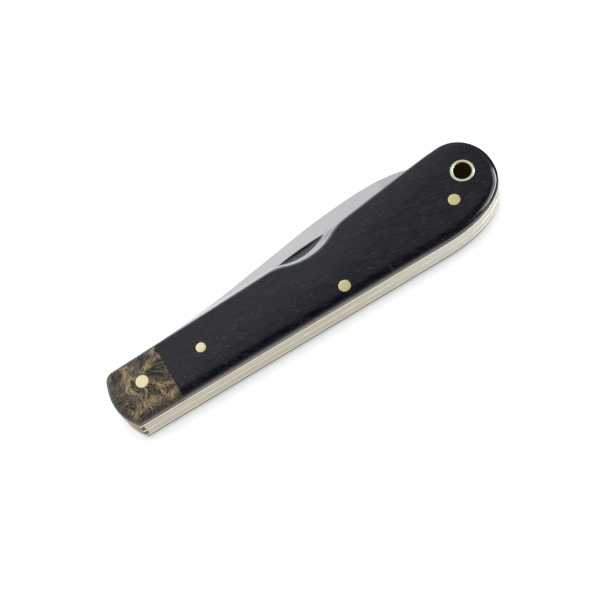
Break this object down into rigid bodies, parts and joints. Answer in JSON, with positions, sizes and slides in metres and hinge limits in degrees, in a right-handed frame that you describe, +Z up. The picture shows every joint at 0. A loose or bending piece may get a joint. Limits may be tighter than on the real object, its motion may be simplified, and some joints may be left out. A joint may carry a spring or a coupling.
{
  "type": "folding pocket knife",
  "caption": "Closed slip-joint folding pocket knife: black wood scales, marbled bolsters, brass liners and pins, sprung blades on a common pivot and a lanyard tube in the butt.",
  "frame": {"origin": "middle of the closed knife's bounding box, on the surface that it lies on", "axes": "+X along the handle from the pivot to the butt, +Y towards the side that the blades fold out of, +Z up through the layers"},
  "size_m": [0.1096, 0.0248, 0.0127],
  "materials": {
    "black_wood": "oiled and polished near-black wood with fine pores",
    "marbled_bolster": "polished marbled composite, dark grey with gold-brown swirls",
    "liner_brass": "satin",
    "pin_brass": "filed flush and polished",
    "spring_steel": "satin, ground lengthwise",
    "blade_steel": "satin, fine lines"
  },
  "bodies": {
    "handle": {"front_bolster": "marbled_bolster", "back_bolster": "marbled_bolster", "front_scale": "black_wood", "back_scale": "black_wood", "front_liner": "liner_brass", "centre_liner": "liner_brass", "back_liner": "liner_brass", "front_spring": "spring_steel", "back_spring": "spring_steel", "pivot_pin": "pin_brass", "middle_pin": "pin_brass", "butt_pin": "pin_brass", "front_scale_rivet": "pin_brass", "back_scale_rivet": "pin_brass", "lanyard_tube": "pin_brass"},
    "main_blade": {"main_blade": "blade_steel"},
    "second_blade": {"second_blade": "blade_steel"}
  },
  "joints": [
    {"name": "main_blade_pivot", "type": "hinge", "parent": "handle", "child": "main_blade", "pos_m": [-0.04594, -0.00379, 0.00775], "axis": [0, 0, 1], "range_deg": [0, 180], "deforming": ["front_spring"]},
    {"name": "second_blade_pivot", "type": "hinge", "parent": "handle", "child": "second_blade", "pos_m": [-0.04594, -0.00379, 0.00475], "axis": [0, 0, 1], "range_deg": [0, 180], "deforming": ["back_spring"]}
  ]
}
